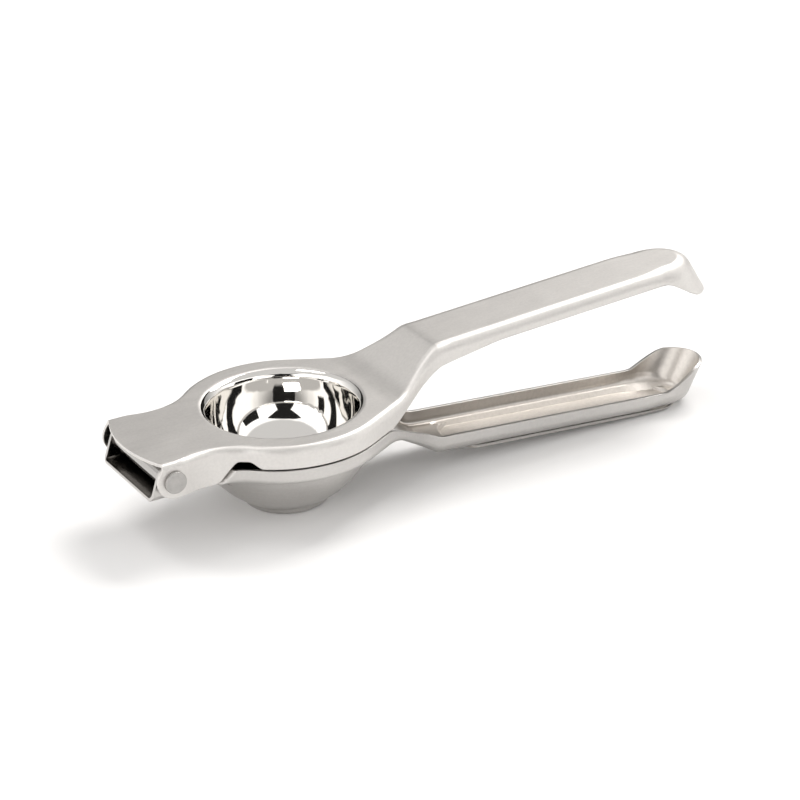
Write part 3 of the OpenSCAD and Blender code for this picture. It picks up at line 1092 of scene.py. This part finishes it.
def light_tent():
    """A white tent with a pale roof, an opening to look in by and dark sides behind and to the right."""
    to_opening = (-0.5, -0.866)              # the level way from the press to the opening
    waist_half, waist_up, opening_top = 0.19, 0.41, 0.74
    flare_up, flare_down = 1.29, 0.35        # how fast the opening widens from its waist
    back_half, back_low, back_top = 0.577, 0.03, 0.80
    screen_near, screen_far, screen_top = 1.0, 4.0, 0.48
    wall_top, roof_light, wall_light, stray_light = 0.60, 0.75, 0.42, 0.02
    paint = Paint(bpy.data.worlds.new("light_tent"))
    way = paint.node("ShaderNodeTexCoord", {}, {}).out("Generated")
    parts = paint.node("ShaderNodeSeparateXYZ", {}, {0: way})
    x, y, z = (parts.out(i) for i in range(3))
    ahead = x * to_opening[0] + y * to_opening[1]
    aside = x * -to_opening[1] - y * -to_opening[0]
    in_front = ahead.above(0.0)
    across, up = aside / ahead, z / ahead
    over, under = up - waist_up, waist_up - up
    half = waist_half + flare_up * over.above(0.0, 0.001) * over
    half = half + flare_down * under.above(0.0, 0.001) * under
    opening = (half - abs(across)).above(0.0) * (opening_top - up).above(0.0) * in_front
    back = (back_half - abs(across)).above(0.0) * (-ahead).above(0.0)
    back = back * z.above(back_low) * (back_top - z).above(0.0, 0.1)
    screen = (across - screen_near).above(0.0) * (screen_far - across).above(0.0)
    screen = screen * in_front * (screen_top - z).above(0.0)
    wall = (wall_top - z).above(0.0, 0.05)
    lit = roof_light * (1 - wall) + wall * (wall_light + 1.4 * ((ahead + 0.75) / 0.9).clamped())
    lit = lit * (1 - opening) * (1 - back) * (1 - screen) + stray_light
    tent = paint.node("ShaderNodeBackground", {}, {"Color": (1.0, 0.985, 0.97, 1), "Strength": lit})
    paint.node("ShaderNodeOutputWorld", {}, {0: tent.out(0)})
    return paint.owner


class CITRUS_OT_stage(bpy.types.Operator):
    """Set the pale floor, the soft lights and the camera"""

    bl_idname = "citrus.stage"
    bl_label = "Stage"

    def execute(self, context):
        scene = context.scene
        finish = scene.press_finish
        scene.view_settings.view_transform = "Standard"
        scene.world = light_tent()
        card("floor", (0, 0, 0), (12, 12), (0, 0, 1), plain("floor_white", finish.floor))
        softbox("rear_softbox", (2.30, 1.15, 3.05), (2.1, 1.4), 92, (0, 0, 0.02), (1, 0.98, 0.96))
        softbox("roof_softbox", (-0.7, 0.5, 2.2), (0.8, 0.8), 6, (0, 0, 0.02), (1, 0.99, 0.98))
        lens = bpy.data.cameras.new("camera")
        lens.lens, lens.sensor_width = 129.06, 36
        lens.clip_start, lens.clip_end = 0.05, 40
        camera = bpy.data.objects.new("camera", lens)
        place = Vector((-0.44215, -0.74551, 0.41997))
        right = Vector((0.86359, -0.50417, -0.00560))
        forward = Vector((0.45618, 0.78601, -0.41723))
        up = Vector((0.21476, 0.35776, 0.90878))
        turn = Matrix((right, up, -forward)).transposed()
        camera.matrix_world = Matrix.Translation(place) @ turn.to_4x4()
        scene.collection.objects.link(camera)
        scene.camera = camera
        return {"FINISHED"}


OPERATORS = (CITRUS_OT_press_lever, CITRUS_OT_bowl_lever, CITRUS_OT_hinge, CITRUS_OT_stage)


class CITRUS_PT_panel(bpy.types.Panel):
    """The press's sizes, finishes and build steps"""

    bl_idname = "CITRUS_PT_panel"
    bl_label = "Citrus Press"
    bl_space_type = "VIEW_3D"
    bl_region_type = "UI"
    bl_category = "Citrus Press"

    def draw(self, context):
        for group in (context.scene.press_sizes, context.scene.press_finish):
            column = self.layout.column(align=True)
            for name in group.__annotations__:
                column.prop(group, name)
        for step in OPERATORS:
            self.layout.operator(step.bl_idname)


CLASSES = (PressSizes, PressFinish) + OPERATORS + (CITRUS_PT_panel,)


def register():
    for item in CLASSES:
        bpy.utils.register_class(item)
    bpy.types.Scene.press_sizes = PointerProperty(type=PressSizes)
    bpy.types.Scene.press_finish = PointerProperty(type=PressFinish)


def unregister():
    del bpy.types.Scene.press_finish
    del bpy.types.Scene.press_sizes
    for item in reversed(CLASSES):
        bpy.utils.unregister_class(item)


def main():
    register()
    bpy.ops.citrus.press_lever()
    bpy.ops.citrus.bowl_lever()
    bpy.ops.citrus.hinge()
    bpy.ops.citrus.stage()


if __name__ == "__main__":
    main()
